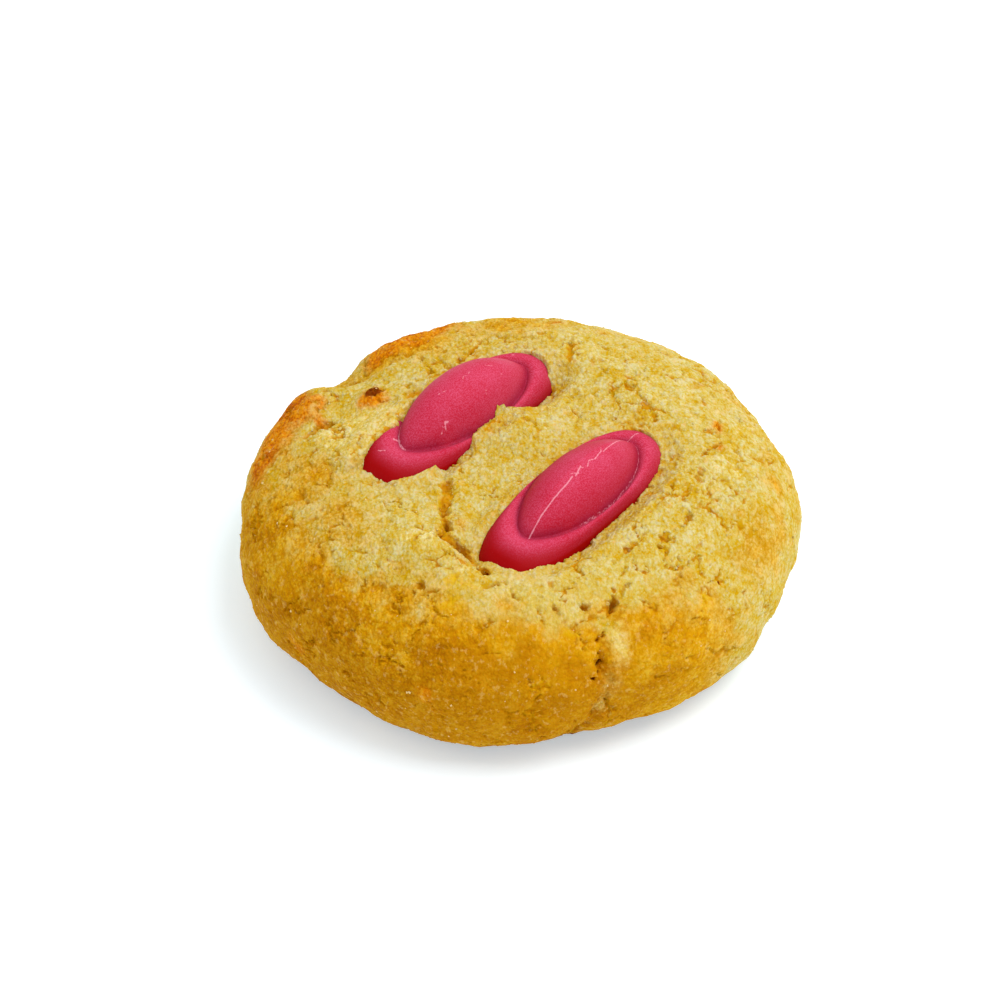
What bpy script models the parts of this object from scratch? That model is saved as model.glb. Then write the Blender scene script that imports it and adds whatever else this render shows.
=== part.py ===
"""A thick, soft strawberry cookie: one round of baked dough with two moulded pink chocolates pressed in.

Everything is in metres, +Z up. The cookie rests on its flat underside at z = 0, +X is to its right and
+Y to its back, and the origin is under the middle of its bounding box.
"""

import math

import bmesh
import bpy
import numpy as np
from mathutils import Euler, Matrix, Vector, noise

MM = 0.001

# The dough's overall size.
COOKIE_HEIGHT = 24.0 * MM
WIDEST_HEIGHT = 9.5 * MM
NOMINAL_RADIUS = 37.5 * MM
SHOULDER_FULLNESS = 2.5  # exponent of the side's curve: 2 is an ellipse, more is boxier
CENTRING = (-0.19 * MM, -0.18 * MM, 0)  # brings the middle of the bounding box over the origin
UNDERCUT_DEPTH = 13.5 * MM  # where the lower curve would close if the tray did not cut it off
DISH_DEPTH = 2.0 * MM  # the middle sank under the chocolates
DISH_SHARE = 0.5  # how far out the sinking reaches, as a share of the radius
FOOT_ROUNDING = 0.8 * MM
# Distance from the middle to the side, every 22.5 degrees, counterclockwise from +X, in millimetres.
OUTLINE_RADII = [37.5, 36.5, 37, 37, 37, 36.5, 34.5, 37, 37, 37.5, 36.5, 37, 36.5, 35.5, 36.5, 36.5]

# Places on the dough are given as on a map of it from above with its sides folded out flat: (x, y) in
# millimetres, where the distance from the middle is walked along the surface.
# Lumps and hollows: (x, y), radius and height of each.
LUMPS = [
    ((-30, 17), 5, 1.2),  # torn lip of crust at the back left
    ((-20, 28), 5, 0.7),
    ((-25, 22), 3.5, -1.4),  # notch between the two lips
    ((-24, 10), 4.5, -1.0),
    ((-12, -18), 4.5, 1.3),  # dough heaped beside the front chocolate
    ((-8, -24), 4.5, 0.9),
    ((-6, -17), 3.0, -1.0),
    ((0, 5), 4.5, 1.5),  # bridge between the chocolates
    ((2, -32), 7, 0.7),
    ((19, -31), 6.5, 0.8),
    ((-26, -24), 8, 0.6),
    ((30, -8), 8, 0.5),
    ((10, -48), 2.5, -1.4),  # hollow in the foot under the big split
    ((-21, 14), 1.6, 0.9),  # scorched crumb
    ((-27, 7), 2.2, -1.6),  # holes
    ((-8, 20), 1.8, -1.4),
    ((-13.5, -24), 1.8, -1.3),
    ((8.5, -28), 1.6, -1.2),
    ((14.5, -18), 1.8, -1.2),
    ((21.5, -12), 1.8, -1.2),
    ((21, -22), 1.8, -1.0),
    ((26, 3), 1.8, -1.1),
]
# Splits and cracks: half width, depth and the path of each.
CRACKS = [
    (1.0, 2.2, [(-10.5, -4.5), (-10.6, -9), (-9.8, -14), (-7.5, -18.5), (-5.2, -22), (-5.6, -25.5)]),
    (0.8, 1.6, [(14.5, -24), (12.5, -28.5), (10.8, -32.5), (11.4, -35.5), (10.3, -38), (11.2, -42), (11, -50)]),
    (0.6, 1.1, [(24, -6), (19.5, -16.5), (15, -21)]),
    (0.6, 1.0, [(-6, 23), (-1, 24.5), (2, 24), (7, 22.5)]),
    (0.6, 1.0, [(-22, -8), (-19, -13), (-20, -18)]),
]


def smooth_step(value):
    """0 below 0, 1 above 1 and a smooth rise between."""
    t = np.clip(value, 0, 1)
    return t * t * (3 - 2 * t)


def outline_radius(azimuth):
    """Radius of the widest outline at each azimuth: a smooth closed curve through OUTLINE_RADII."""
    count = len(OUTLINE_RADII)
    place = np.mod(azimuth, 2 * math.pi) * count / (2 * math.pi)
    first = np.floor(place).astype(int)
    t = place - first
    radii = np.array(OUTLINE_RADII) * MM
    before, start, end, after = (radii[(first + k) % count] for k in (-1, 0, 1, 2))
    slope_in, slope_out = (end - before) / 2, (after - start) / 2
    return (
        (2 * t**3 - 3 * t**2 + 1) * start
        + (t**3 - 2 * t**2 + t) * slope_in
        + (3 * t**2 - 2 * t**3) * end
        + (t**3 - t**2) * slope_out
    )


def side_curve(samples=400):
    """The side's profile from top centre to base edge: share of the radius, height and length walked."""
    turn = np.linspace(0, math.pi / 2, samples)
    drop = np.linspace(0, 1, samples // 2)[1:]
    power = 2 / SHOULDER_FULLNESS
    share = np.sin(turn) ** power
    height = WIDEST_HEIGHT + (COOKIE_HEIGHT - WIDEST_HEIGHT) * np.cos(turn) ** power
    height -= DISH_DEPTH * np.exp(-((share / DISH_SHARE) ** 4))
    undercut = (1 - (drop * WIDEST_HEIGHT / UNDERCUT_DEPTH) ** SHOULDER_FULLNESS) ** (1 / SHOULDER_FULLNESS)
    share = np.concatenate([share, undercut])
    height = np.concatenate([height, WIDEST_HEIGHT * (1 - drop)])
    walked = np.concatenate([[0], np.cumsum(np.hypot(np.diff(share) * NOMINAL_RADIUS, np.diff(height)))])
    return share, height, walked


SHARE, HEIGHT, WALKED = side_curve()
FULL_WALK = WALKED[-1]


def surface(azimuth, walk):
    """Points of the smooth dough at these azimuths, walk metres along the surface from its top centre."""
    share = np.interp(walk, WALKED, SHARE)
    height = np.interp(walk, WALKED, HEIGHT)
    radius = outline_radius(azimuth) * share
    return np.stack([radius * np.cos(azimuth), radius * np.sin(azimuth), height], -1)


def on_map(places):
    """The points of the smooth dough at these (x, y) places of the map, in millimetres."""
    x, y = np.array(places, float).T * MM
    return surface(np.arctan2(y, x), np.hypot(x, y))


def path_on_map(places, step=0.5):
    """Points about step millimetres apart along a path through these places of the map."""
    points = []
    for start, end in zip(places, places[1:]):
        count = max(1, round(math.dist(start, end) / step))
        points += [np.array(start) + (np.array(end) - start) * k / count for k in range(count)]
    return on_map(points + [places[-1]])


def quad_sphere(cuts):
    """A cube cut into an even grid and blown up to a sphere of radius 1."""
    ball = bmesh.new()
    bmesh.ops.create_cube(ball, size=2)
    bmesh.ops.subdivide_edges(ball, edges=ball.edges[:], cuts=cuts, use_grid_fill=True)
    for vert in ball.verts:
        vert.co = Vector([math.tan(c * math.pi / 4) for c in vert.co]).normalized()
    return ball


def noise_field(points, size, octaves, seed):
    """Fractal noise at these points, in about -1 to 1, with lumps of this size."""
    offset = Vector((seed, 2 * seed, 3 * seed))
    places = [Vector(point / size) + offset for point in points]
    return np.array([noise.fractal(place, 1.0, 2.0, octaves, noise_basis="PERLIN_NEW") for place in places])


def finished_mesh(name, form):
    mesh = bpy.data.meshes.new(name)
    form.to_mesh(mesh)
    form.free()
    return mesh


def vertices_of(mesh):
    points = np.empty(len(mesh.vertices) * 3)
    mesh.vertices.foreach_get("co", points)
    return points.reshape(-1, 3)


def move_vertices(mesh, points):
    mesh.vertices.foreach_set("co", points.ravel())
    mesh.update()


# The dough: the quad sphere's upper part becomes top and sides, its cap the flat underside.
FOOT_ANGLE = 0.72 * math.pi  # polar angle on the sphere that lands on the base edge
DOUGH_CUTS = 70
DOUGH_DETAIL = 0.15  # share of the triangles that is kept


def smooth_dough(directions):
    azimuth = np.arctan2(directions[:, 1], directions[:, 0])
    polar = np.arccos(np.clip(directions[:, 2], -1, 1))
    points = surface(azimuth, np.minimum(polar / FOOT_ANGLE, 1) * FULL_WALK)
    points[:, :2] *= np.clip((math.pi - polar) / (math.pi - FOOT_ANGLE), 0, 1)[:, None]
    return points


def relief(points):
    """How far each point of the smooth dough moves out along its normal."""
    move = 0.5 * MM * noise_field(points, 12 * MM, 2, seed=3)
    move += 0.5 * MM * noise_field(points, 4.5 * MM, 3, seed=9)
    for place, radius, height in LUMPS:
        distance = np.linalg.norm(points - on_map([place])[0], axis=1)
        move += height * MM * np.exp(-((distance / (radius * MM)) ** 2))
    torn = points + 0.6 * MM * np.stack([noise_field(points, 2.5 * MM, 2, seed) for seed in (20, 21, 22)], -1)
    for half_width, depth, path in CRACKS:
        distance = np.min(np.linalg.norm(torn[:, None] - path_on_map(path)[None], axis=2), axis=1)
        move -= depth * MM * (1 - smooth_step(distance / (2 * half_width * MM)))
    return move


def dough_mesh(cuts):
    mesh = finished_mesh("cookie", quad_sphere(cuts))
    points = smooth_dough(vertices_of(mesh))
    move_vertices(mesh, points)
    normals = np.array([normal.vector for normal in mesh.vertex_normals])
    standing = smooth_step(points[:, 2] / FOOT_ROUNDING)
    points += normals * (relief(points) * standing)[:, None]
    points[:, 2] = np.maximum(points[:, 2], 0)
    points[:, :2] *= (1 - 0.5 * FOOT_ROUNDING / NOMINAL_RADIUS * (1 - standing))[:, None]
    move_vertices(mesh, points)
    return mesh


# The moulded chocolates, both from one mould, each in its own frame: long axis X, foot of the dome at z = 0.
RIM_LENGTH = 33.4 * MM
RIM_WIDTH = 11.8 * MM
RIM_SQUARENESS = 2.6  # exponent of the outer oval: 2 is an ellipse, more is boxier
DOME_LENGTH = 23.4 * MM
DOME_WIDTH = 10.3 * MM
DOME_SHIFT = Vector((1.4, 0.5, 0)) * MM
RIDGE_RISE = 5.2 * MM
RIDGE_SHARPNESS = 0.2  # 0 is a round back, more makes a sharper ridge
RIM_RISE = 0.6 * MM
RIM_CREST = 0.3  # where the rim is highest, from the foot of the dome to its outer edge
RIM_DROP = 3.0 * MM
BACK_DEPTH = 3.6 * MM
CLEARANCE = 0.3 * MM
# Where each lies on the cookie: the middle of its rim, and its turns about the long axis, the short axis
# and the vertical.
CHOCOLATES = {
    "chocolate_back": ((-8.0 * MM, 8.3 * MM, 22.0 * MM), (2, 1, 47)),
    "chocolate_front": ((7.2 * MM, -8.0 * MM, 22.1 * MM), (2, 1, 51.5)),
}


def signed_power(value, power):
    return math.copysign(abs(value) ** power, value)


def rim_outline(angle, grow=0.0):
    """The rim's outer edge seen from above, grow metres larger all round."""
    power = 2 / RIM_SQUARENESS
    x = (RIM_LENGTH / 2 + grow) * signed_power(math.cos(angle), power)
    y = (RIM_WIDTH / 2 + grow) * signed_power(math.sin(angle), power)
    return Vector((x, y, 0))


def chocolate_point(angle, station, grow):
    """A point of the chocolate: station runs 0 to 1 down the dome, to 2 over the rim and to 3 on the back."""
    almond = Vector((DOME_LENGTH / 2 * math.cos(angle), DOME_WIDTH / 2 * signed_power(math.sin(angle), 1.25), 0))
    if station <= 1:
        along = abs(station * math.cos(angle))
        half_width = DOME_WIDTH / 2 * max(1 - along**2, 1e-9) ** 0.625
        across = min(abs(station * almond.y) / half_width, 1)
        arch = (1 - RIDGE_SHARPNESS * across) * (1 - across**2) ** 0.6
        height = RIDGE_RISE * (1 - along**2.2) * arch
        return DOME_SHIFT + almond * station + Vector((0, 0, height + grow))
    if station <= 2:
        out = station - 1
        point = (DOME_SHIFT + almond).lerp(rim_outline(angle, grow), out)
        if out < RIM_CREST:
            point.z = RIM_RISE * math.sin(math.pi / 2 * out / RIM_CREST)
        else:
            turn = (out - RIM_CREST) / (1 - RIM_CREST)
            point.z = RIM_RISE - (RIM_RISE + RIM_DROP) * (1 - math.sqrt(max(1 - turn**2, 0)))
        point.z += grow
        return point
    return rim_outline(angle, grow) * (3 - station) + Vector((0, 0, -BACK_DEPTH - grow))


def chocolate_mesh(name, stations, around, grow=0.0):
    """The chocolate as a ball whose rings are laid at these stations, between the ridge and the back."""
    rings = len(stations) + 1
    form = bmesh.new()
    bmesh.ops.create_uvsphere(form, u_segments=around, v_segments=rings, radius=1)
    for vert in form.verts:
        ring = round(math.acos(max(-1, min(1, vert.co.z))) / math.pi * rings)
        station = 0 if ring == 0 else 3 if ring == rings else stations[ring - 1]
        vert.co = chocolate_point(math.atan2(vert.co.y, vert.co.x), station, grow)
    return finished_mesh(name, form)


def pocket_mesh(name, around, height, overlap):
    """The hollow that a chocolate leaves in the dough: an upright prism a little larger than its rim.

    overlap lists the angles between which the dough's ragged edge lies over the rim, and how far.
    """
    form = bmesh.new()
    ring = []
    for angle in (2 * math.pi * k / around for k in range(around)):
        edge = rim_outline(angle, CLEARANCE)
        for first, last, reach in overlap:
            share = (math.degrees(angle) - first) / (last - first)
            if 0 < share < 1:
                edge *= 1 - reach * math.sin(math.pi * share) ** 0.5 * (1 + 0.25 * math.sin(7 * math.pi * share))
        ring.append(form.verts.new(edge))
    floor = form.faces.new(ring)
    bmesh.ops.translate(form, verts=ring, vec=(0, 0, -BACK_DEPTH - CLEARANCE))
    raised = bmesh.ops.extrude_face_region(form, geom=[floor])["geom"]
    top = [element for element in raised if isinstance(element, bmesh.types.BMVert)]
    bmesh.ops.translate(form, verts=top, vec=(0, 0, height))
    bmesh.ops.recalc_face_normals(form, faces=form.faces[:])
    return finished_mesh(name, form)


# Where the dough rose over the near side of the back chocolate: angles in the chocolate's frame, and reach.
FLAPS = {"chocolate_back": [(242, 330, 0.24)], "chocolate_front": []}


def pose(place, turns):
    return Matrix.Translation(place) @ Euler([math.radians(turn) for turn in turns]).to_matrix().to_4x4()


def solid_material(name, colour, roughness):
    material = bpy.data.materials.new(name)
    material.use_nodes = True
    shader = material.node_tree.nodes["Principled BSDF"]
    shader.inputs["Base Color"].default_value = (*colour, 1)
    shader.inputs["Roughness"].default_value = roughness
    return material


def add_object(name, mesh, collection, matrix=Matrix()):
    piece = bpy.data.objects.new(name, mesh)
    piece.matrix_world = Matrix.Translation(CENTRING) @ matrix
    collection.objects.link(piece)
    return piece


def add_cutter(mesh, matrix):
    piece = add_object(mesh.name, mesh, cutters, matrix)
    piece.hide_render = True
    piece.display_type = "WIRE"
    return piece


def cut(piece, cutter):
    boolean = piece.modifiers.new(cutter.name, "BOOLEAN")
    boolean.operation = "DIFFERENCE"
    boolean.object = cutter
    boolean.solver = "EXACT"


for leftover in list(bpy.data.objects):
    bpy.data.objects.remove(leftover, do_unlink=True)
parts = bpy.data.collections.new("strawberry cookie")
cutters = bpy.data.collections.new("cutters")
bpy.context.scene.collection.children.link(parts)
bpy.context.scene.collection.children.link(cutters)

# The dough, thinned to the triangles that its relief needs.
dough = add_object("cookie", dough_mesh(DOUGH_CUTS), parts)
dough.data.materials.append(solid_material("baked dough", (0.66, 0.42, 0.09), 0.8))
dough.data.shade_smooth()
thinner = dough.modifiers.new("thinner", "DECIMATE")
thinner.ratio = DOUGH_DETAIL

# The chocolates and their pockets.
MOULD_STATIONS = [0.16, 0.36, 0.58, 0.8, 1.0, 1.12, 1.3, 1.5, 1.68, 1.82, 1.92, 2.0, 3 - 1 / (1 + 1e-3)]
for name, (place, turns) in CHOCOLATES.items():
    matrix = pose(place, turns)
    chocolate = add_object(name, chocolate_mesh(name, MOULD_STATIONS, 48), parts, matrix)
    chocolate.data.materials.append(solid_material(name.replace("_", " "), (0.52, 0.035, 0.075), 0.4))
    chocolate.data.shade_smooth()
    hollow = pocket_mesh(f"{name}_pocket", 96, 12 * MM, FLAPS[name])
    cut(dough, add_cutter(hollow, matrix))
    if FLAPS[name]:
        trim = chocolate_mesh(f"{name}_trim", MOULD_STATIONS, 48, CLEARANCE)
        cut(dough, add_cutter(trim, matrix))
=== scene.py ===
"""The looks of a strawberry cookie: a thick soft round of baked dough with two moulded pink chocolates.

Metres, +Z up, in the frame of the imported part: it stands on z = 0, its front faces -Y, and +X is to the
right of someone who looks at its front.
"""

import math

import bmesh
import bpy
import numpy as np
from mathutils import Euler, Matrix, Vector, noise
from mathutils.bvhtree import BVHTree


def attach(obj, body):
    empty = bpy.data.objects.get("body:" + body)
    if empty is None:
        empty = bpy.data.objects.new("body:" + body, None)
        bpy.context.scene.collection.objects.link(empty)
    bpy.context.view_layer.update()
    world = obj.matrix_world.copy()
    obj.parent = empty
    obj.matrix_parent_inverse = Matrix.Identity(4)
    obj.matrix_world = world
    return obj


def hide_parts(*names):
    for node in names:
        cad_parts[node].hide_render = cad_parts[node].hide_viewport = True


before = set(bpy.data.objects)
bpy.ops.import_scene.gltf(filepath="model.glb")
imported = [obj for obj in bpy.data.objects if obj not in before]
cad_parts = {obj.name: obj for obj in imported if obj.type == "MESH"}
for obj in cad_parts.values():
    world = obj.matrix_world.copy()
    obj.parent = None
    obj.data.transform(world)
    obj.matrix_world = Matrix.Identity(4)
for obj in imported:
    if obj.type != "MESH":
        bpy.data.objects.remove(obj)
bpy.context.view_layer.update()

MM = 0.001

# ----------------------------------------------------------
# The two chocolates. Both are cast from pink strawberry chocolate in one mould: a smooth oval with a
# rounded rim round an almond-shaped dome. They were pressed into the soft dough before it was baked, and
# their edges are scuffed.
# ----------------------------------------------------------

RIM_LENGTH = 33.4 * MM
RIM_WIDTH = 11.8 * MM
RIM_SQUARENESS = (3.5, 2.7)  # exponents of the oval at its -X and +X ends: 2 is an ellipse, more is boxier
DOME_LENGTH = 23.4 * MM
DOME_WIDTH = 10.3 * MM
DOME_SHIFT = Vector((1.4, 0.5, 0)) * MM
ALMOND_TAPER = 1.25  # how fast the dome's outline narrows to its ends: 1 is an ellipse
DOME_ARCH = 0.55  # exponent of the dome's cross section: 0.5 is round
DOME_FALL = 2.2  # exponent of how its ridge falls towards the ends
RIM_RISE = 0.6 * MM
RIM_CREST = 0.3  # where the rim is highest, from the foot of the dome to its outer edge
RIM_DROP = 3.0 * MM
BACK_DEPTH = 3.6 * MM
FOOT_GROOVE = 0.05 * MM  # depth of the fine groove along the foot of the dome
FOOT_SPREAD = 0.07  # its half width, where the rim from foot to edge is 1
WAVER = 0.05 * MM  # how far the casting is from true, in waves of this size
WAVER_SIZE = 5 * MM
CENTRING = Vector((-0.19, -0.18, 0)) * MM  # brings the middle of the cookie's box over the origin
# The middle of each rim, and its turns in degrees about the long axis, the short axis and the vertical.
CHOCOLATES = {
    "chocolate_back": (Vector((-8.0, 8.3, 22.0)) * MM, (2, 1, 47)),
    "chocolate_front": (Vector((7.2, -8.0, 22.1)) * MM, (2, 1, 51.5)),
}
# How high each dome rises and how sharp its ridge is: the back one is fuller and rounder.
RIDGES = {"chocolate_back": (5.6 * MM, 0.04), "chocolate_front": (5.2 * MM, 0.24)}
# Painted shade on the steep flanks of each dome: how strong it is.
DOME_FLANK_SHADE = {"chocolate_back": 0.3, "chocolate_front": 0.6}  # how much redder the flanks of each dome are
AROUND = 320  # faces round each chocolate, and how many rings of them the dome and the rim have
DOME_RINGS = 80
RIM_RINGS = 60
BACK_RING = 2.999  # station of the last ring, just outside the middle of the back
# White scuffs: half width, strength and path of each, in millimetres from the middle of the rim.
SCUFFS = {
    "chocolate_back": [
        (0.10, 0.7, [(-3.1, 0.9), (-2.7, 0.8), (-2.3, 0.5)]),
        (0.09, 0.6, [(0.6, 0.1), (1.2, 0.5), (1.6, 0.3)]),
        (0.09, 0.6, [(2.1, 0.4), (2.5, 0.7)]),
        (0.08, 0.6, [(5.2, 0.3), (6.0, -0.1)]),
        (0.08, 0.5, [(2.0, -2.9), (2.4, -2.5)]),
        (0.14, 0.8, [(-5.3, -2.6), (-5.0, -2.1), (-4.6, -2.3)]),
        (0.09, 0.7, [(-6.0, -2.5), (-5.5, -2.2)]),
        (0.09, 0.6, [(5.9, -1.9), (6.4, -1.6)]),
        (0.15, 1.2, [(-10.0, 2.3), (-9.6, 1.9)]),
        (0.10, 0.7, [(13.2, 2.6), (13.4, 2.3)]),
        (0.12, 0.7, [(-13.2, 2.2), (-12.6, 1.4)]),
    ],
    "chocolate_front": [
        (0.10, 1.1, [(-10.1, -0.3), (-7.4, -0.2), (-5.0, -0.3), (-2.6, -0.4), (-1.4, -0.3)]),
        (0.09, 0.8, [(-1.2, 0.1), (-0.4, -0.5), (0.2, 0.0), (0.8, -0.4)]),
        (0.12, 0.8, [(-0.9, -0.5), (0.6, -0.1)]),
        (0.09, 0.8, [(1.4, -0.6), (2.2, -0.2), (3.2, -0.5)]),
        (0.09, 0.9, [(3.2, -0.5), (5.0, -0.1), (5.4, 0.3)]),
        (0.09, 0.9, [(5.2, -0.3), (8.0, 0.2), (10.4, 0.7)]),
        (0.08, 0.9, [(11.0, 0.8), (12.9, 1.2), (14.6, 0.8)]),
        (0.09, 0.5, [(-12.7, 0.9), (-13.4, 0.5), (-14.2, 0.3)]),
        (0.08, 0.5, [(-1.6, -3.6), (-1.2, -3.4)]),
    ],
}
# The stretch of each dome's foot that is painted white, from and to which angle in degrees, and how much:
# worn on the front chocolate, partly worn and partly a painted highlight on the back one.
FEET_WORN_AND_HIGHLIT = {"chocolate_back": (92, 196, 0.9), "chocolate_front": (236, 356, 0.55)}
WHITE_FOOT_FADE = 12  # degrees over which it fades out at either end


def signed_power(value, power):
    return math.copysign(abs(value) ** power, value)


def rim_outline(angle):
    """The rim's outer edge seen from above."""
    power = 2 / RIM_SQUARENESS[math.cos(angle) > 0]
    x = RIM_LENGTH / 2 * signed_power(math.cos(angle), power)
    y = RIM_WIDTH / 2 * signed_power(math.sin(angle), power)
    return Vector((x, y, 0))


def chocolate_point(angle, station, rise, sharpness):
    """A point of the chocolate: station is 0 to 1 down the dome, to 2 over the rim and to 3 on the back."""
    x = DOME_LENGTH / 2 * math.cos(angle)
    y = DOME_WIDTH / 2 * signed_power(math.sin(angle), ALMOND_TAPER)
    almond = Vector((x, y, 0))
    if station <= 1:
        along = abs(station * math.cos(angle))
        half_width = DOME_WIDTH / 2 * max(1 - along**2, 1e-9) ** (ALMOND_TAPER / 2)
        across = min(abs(station * almond.y) / half_width, 1)
        arch = (1 - sharpness * across) * (1 - across**2) ** DOME_ARCH
        return DOME_SHIFT + almond * station + Vector((0, 0, rise * (1 - along**DOME_FALL) * arch))
    if station <= 2:
        out = station - 1
        point = (DOME_SHIFT + almond).lerp(rim_outline(angle), out)
        if out < RIM_CREST:
            point.z = RIM_RISE * math.sin(math.pi / 2 * out / RIM_CREST)
        else:
            turn = (out - RIM_CREST) / (1 - RIM_CREST)
            point.z = RIM_RISE - (RIM_RISE + RIM_DROP) * (1 - math.sqrt(max(1 - turn**2, 0)))
        return point
    return rim_outline(angle) * (3 - station) + Vector((0, 0, -BACK_DEPTH))


def vertices_of(mesh):
    points = np.empty(len(mesh.vertices) * 3)
    mesh.vertices.foreach_get("co", points)
    return points.reshape(-1, 3)


def move_vertices(mesh, points):
    mesh.vertices.foreach_set("co", points.ravel())
    mesh.update()


def normals_of(mesh):
    return np.array([normal.vector for normal in mesh.vertex_normals])


def add_mask(mesh, name, values):
    """Keeps one number for each vertex, which the mesh's material reads by this name."""
    attribute = mesh.attributes.new(name, "FLOAT", "POINT")
    attribute.data.foreach_set("value", np.asarray(values, np.float32))


def noise_field(points, size, octaves, seed):
    """Fractal noise at these points, in about -1 to 1, with lumps of this size."""
    offset = Vector((seed, 2 * seed, 3 * seed))
    places = [Vector(point / size) + offset for point in points]
    return np.array([noise.fractal(place, 1.0, 2.0, octaves, noise_basis="PERLIN_NEW") for place in places])


def cell_field(points, size, seed):
    """Grains of this size packed side by side: how far each point is from the middle of its grain and from
    the seam with the next, in sizes."""
    offset = Vector((seed, 2 * seed, 3 * seed))
    found = np.array([noise.voronoi(Vector(point / size) + offset)[0][:2] for point in points])
    return found[:, 0], found[:, 1] - found[:, 0]


def smooth_step(value):
    """0 below 0, 1 above 1 and a smooth rise between."""
    t = np.clip(value, 0, 1)
    return t * t * (3 - 2 * t)


def distance_to_path(points, path, reach):
    """How far each point is from a path of points, or reach for those that lie further."""
    middle = path.mean(0)
    radius = np.linalg.norm(path - middle, axis=1).max() + reach
    near = np.flatnonzero(np.linalg.norm(points - middle, axis=1) < radius)
    distance = np.full(len(points), float(reach))
    if len(near):
        gaps = np.linalg.norm(points[near, None] - path[None], axis=2).min(axis=1)
        distance[near] = np.minimum(gaps, reach)
    return distance


def fine_path(places, step):
    """Points about step apart along a path through these places."""
    points = []
    for start, end in zip(places, places[1:]):
        count = max(1, round(math.dist(start, end) / step))
        points += [np.array(start) + (np.array(end) - start) * k / count for k in range(count)]
    return np.array(points + [np.array(places[-1], float)])


def chocolate_mesh(name):
    """The casting in its own frame, long axis X, with the foot of the dome, its wear, painted highlight and
    painted shade as masks.
    """
    dome = [k / DOME_RINGS for k in range(1, DOME_RINGS + 1)]
    rim = [1 + k / RIM_RINGS for k in range(1, RIM_RINGS + 1)]
    stations = dome + rim + [BACK_RING]
    rings = len(stations) + 1
    form = bmesh.new()
    bmesh.ops.create_uvsphere(form, u_segments=AROUND, v_segments=rings, radius=1)
    station_of, angle_of = [], []
    for vert in form.verts:
        ring = round(math.acos(max(-1, min(1, vert.co.z))) / math.pi * rings)
        station = 0 if ring == 0 else 3 if ring == rings else stations[ring - 1]
        angle = math.atan2(vert.co.y, vert.co.x)
        vert.co = chocolate_point(angle, station, *RIDGES[name])
        station_of.append(station)
        angle_of.append(math.degrees(angle) % 360)
    mesh = bpy.data.meshes.new(name)
    form.to_mesh(mesh)
    form.free()
    points = vertices_of(mesh)
    station_of, angle_of = np.array(station_of), np.array(angle_of)
    foot = np.exp(-(((station_of - 1.0) / FOOT_SPREAD) ** 2))
    points[:, 2] -= FOOT_GROOVE * foot
    points += normals_of(mesh) * (WAVER * noise_field(points, WAVER_SIZE, 2, seed=31))[:, None]
    move_vertices(mesh, points)
    add_mask(mesh, "foot", foot)
    # Painted shade: the rim is painted darker and redder outwards and downwards, most at its -X end, and so
    # is the dome where its flanks are steep.
    deep = smooth_step((-0.2 * MM - points[:, 2]) / (1.4 * MM)) + smooth_step((station_of - 1.2) / 0.55)
    deep *= 0.65 - 0.35 * np.cos(np.radians(angle_of))
    steep = smooth_step((0.93 - normals_of(mesh)[:, 2]) / 0.4)
    deep += (station_of < 1) * DOME_FLANK_SHADE[name] * steep
    add_mask(mesh, "deep", np.clip(deep, 0, 1))
    worn = np.zeros(len(points))
    flat = points * (1, 1, 0)
    for half_width, strength, path in SCUFFS[name]:
        line = fine_path([(x * MM, y * MM, 0) for x, y in path], 0.1 * MM)
        distance = distance_to_path(flat, line, MM)
        worn = np.maximum(worn, strength * np.exp(-((distance / (half_width * MM)) ** 2)))
    # Along the back dome's foot this white is partly wear and partly a painted highlight.
    start, end, strength = FEET_WORN_AND_HIGHLIT[name]
    stretch = smooth_step((angle_of - start) / WHITE_FOOT_FADE) * smooth_step((end - angle_of) / WHITE_FOOT_FADE)
    worn = np.maximum(worn, strength * stretch * np.exp(-(((station_of - 0.995) / 0.012) ** 2)))
    add_mask(mesh, "worn", worn * (points[:, 2] > -RIM_DROP / 2))
    mesh.shade_smooth()
    return mesh


def linear(red, green, blue):
    """A colour as a screen shows it, 0 to 255, as the light values that a shader takes."""
    shown = [value / 255 for value in (red, green, blue)]
    return tuple(v / 12.92 if v <= 0.04045 else ((v + 0.055) / 1.055) ** 2.4 for v in shown) + (1.0,)


class Socket:
    """An output of a shader node. Arithmetic on it adds Math nodes to its material."""

    def __init__(self, output):
        self.output = output

    @classmethod
    def node(cls, tree, kind, settings, inputs, output=0):
        """Adds a node: its settings first, then its inputs as values or links, and returns an output."""
        node = tree.nodes.new(kind)
        for name, value in settings.items():
            if name == "stops":
                ramp = node.color_ramp
                while len(ramp.elements) < len(value):
                    ramp.elements.new(1.0)
                for element, (position, colour) in zip(ramp.elements, value):
                    element.position = position
                    element.color = colour
            else:
                setattr(node, name, value)
        for name, value in inputs.items():
            if isinstance(value, Socket):
                tree.links.new(value.output, node.inputs[name])
            else:
                node.inputs[name].default_value = value
        return cls(node.outputs[output])

    def maths(self, operation, first, second):
        tree = self.output.id_data
        return Socket.node(tree, "ShaderNodeMath", {"operation": operation}, {0: first, 1: second})

    def __add__(self, other):
        return self.maths("ADD", self, other)

    def __radd__(self, other):
        return self.maths("ADD", other, self)

    def __sub__(self, other):
        return self.maths("SUBTRACT", self, other)

    def __rsub__(self, other):
        return self.maths("SUBTRACT", other, self)

    def __mul__(self, other):
        return self.maths("MULTIPLY", self, other)

    def __rmul__(self, other):
        return self.maths("MULTIPLY", other, self)


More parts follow.
